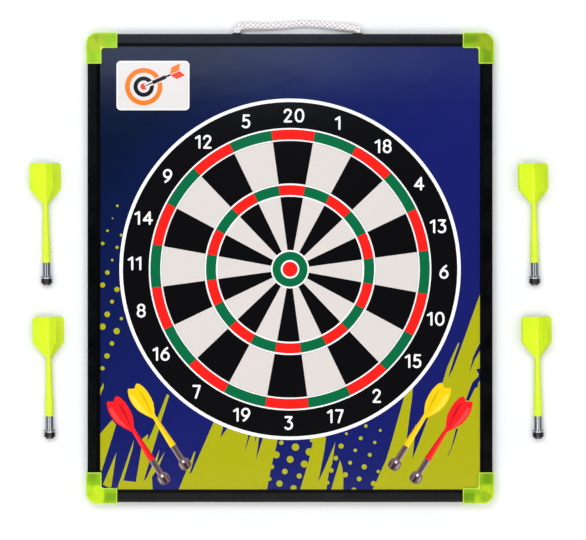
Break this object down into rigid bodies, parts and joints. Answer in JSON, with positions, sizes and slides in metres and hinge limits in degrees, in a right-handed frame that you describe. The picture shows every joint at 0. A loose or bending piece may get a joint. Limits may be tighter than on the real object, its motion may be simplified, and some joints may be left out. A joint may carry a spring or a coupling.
{
  "type": "magnetic dartboard",
  "caption": "Framed magnetic dartboard with a printed steel target, translucent corner caps, a rope handle and magnetic darts that lie beside it",
  "frame": {"origin": "the middle of the board, on the surface that it lies on, on its back", "axes": "+X to the right of the playing face, +Y towards the rope handle and the 20 sector, +Z out of the playing face. In use the board hangs on a wall by its rope, with +Y upwards."},
  "size_m": [0.4807, 0.4446, 0.0227],
  "materials": {
    "frame_black": "satin",
    "cap_lime": "gloss, translucent fluorescent",
    "back_board": "matt",
    "core": "matt",
    "steel": "satin",
    "film_blue": "gloss",
    "ink_black": "gloss",
    "ink_red": "gloss",
    "ink_green": "gloss",
    "ink_white": "gloss",
    "ink_lime": "gloss",
    "rope_white": "braided",
    "fitting_black": "matt",
    "dart_yellow": "satin, fluorescent",
    "dart_steel": "polished",
    "dart_cup": "satin",
    "magnet": "nickel plated"
  },
  "bodies": {
    "board": {"rail_right": "frame_black", "rail_top": "frame_black", "rail_left": "frame_black", "rail_bottom": "frame_black", "corner_cap_bottom_left": "cap_lime", "corner_cap_bottom_right": "cap_lime", "corner_cap_top_right": "cap_lime", "corner_cap_top_left": "cap_lime", "back_sheet": "back_board", "core_board": "core", "steel_sheet": "steel", "face_film": "film_blue", "print_black": "ink_black", "print_red": "ink_red", "print_green": "ink_green", "print_white": "ink_white", "print_lime": "ink_lime", "rope_end_left": "rope_white", "rope_end_right": "rope_white", "rope_toggle_left": "fitting_black", "rope_toggle_right": "fitting_black", "rope_eyelet_left": "fitting_black", "rope_eyelet_right": "fitting_black"},
    "rope_loop": {"rope_handle": "rope_white"},
    "dart_1": {"dart_1_flight": "dart_yellow", "dart_1_barrel": "dart_steel", "dart_1_cup": "dart_cup", "dart_1_magnet": "magnet"},
    "dart_2": {"dart_2_flight": "dart_yellow", "dart_2_barrel": "dart_steel", "dart_2_cup": "dart_cup", "dart_2_magnet": "magnet"},
    "dart_3": {"dart_3_flight": "dart_yellow", "dart_3_barrel": "dart_steel", "dart_3_cup": "dart_cup", "dart_3_magnet": "magnet"},
    "dart_4": {"dart_4_flight": "dart_yellow", "dart_4_barrel": "dart_steel", "dart_4_cup": "dart_cup", "dart_4_magnet": "magnet"}
  },
  "joints": [
    {"name": "rope_swing", "type": "hinge", "parent": "board", "child": "rope_loop", "pos_m": [0, 0.2196, 0.0074], "axis": [1, 0, 0], "range_deg": [0, 115]},
    {"name": "dart_1_lift", "type": "slide", "parent": "board", "child": "dart_1", "axis": [0, 0, 1], "range_m": [0, 0.12]},
    {"name": "dart_2_lift", "type": "slide", "parent": "board", "child": "dart_2", "axis": [0, 0, 1], "range_m": [0, 0.12]},
    {"name": "dart_3_lift", "type": "slide", "parent": "board", "child": "dart_3", "axis": [0, 0, 1], "range_m": [0, 0.12]},
    {"name": "dart_4_lift", "type": "slide", "parent": "board", "child": "dart_4", "axis": [0, 0, 1], "range_m": [0, 0.12]}
  ]
}
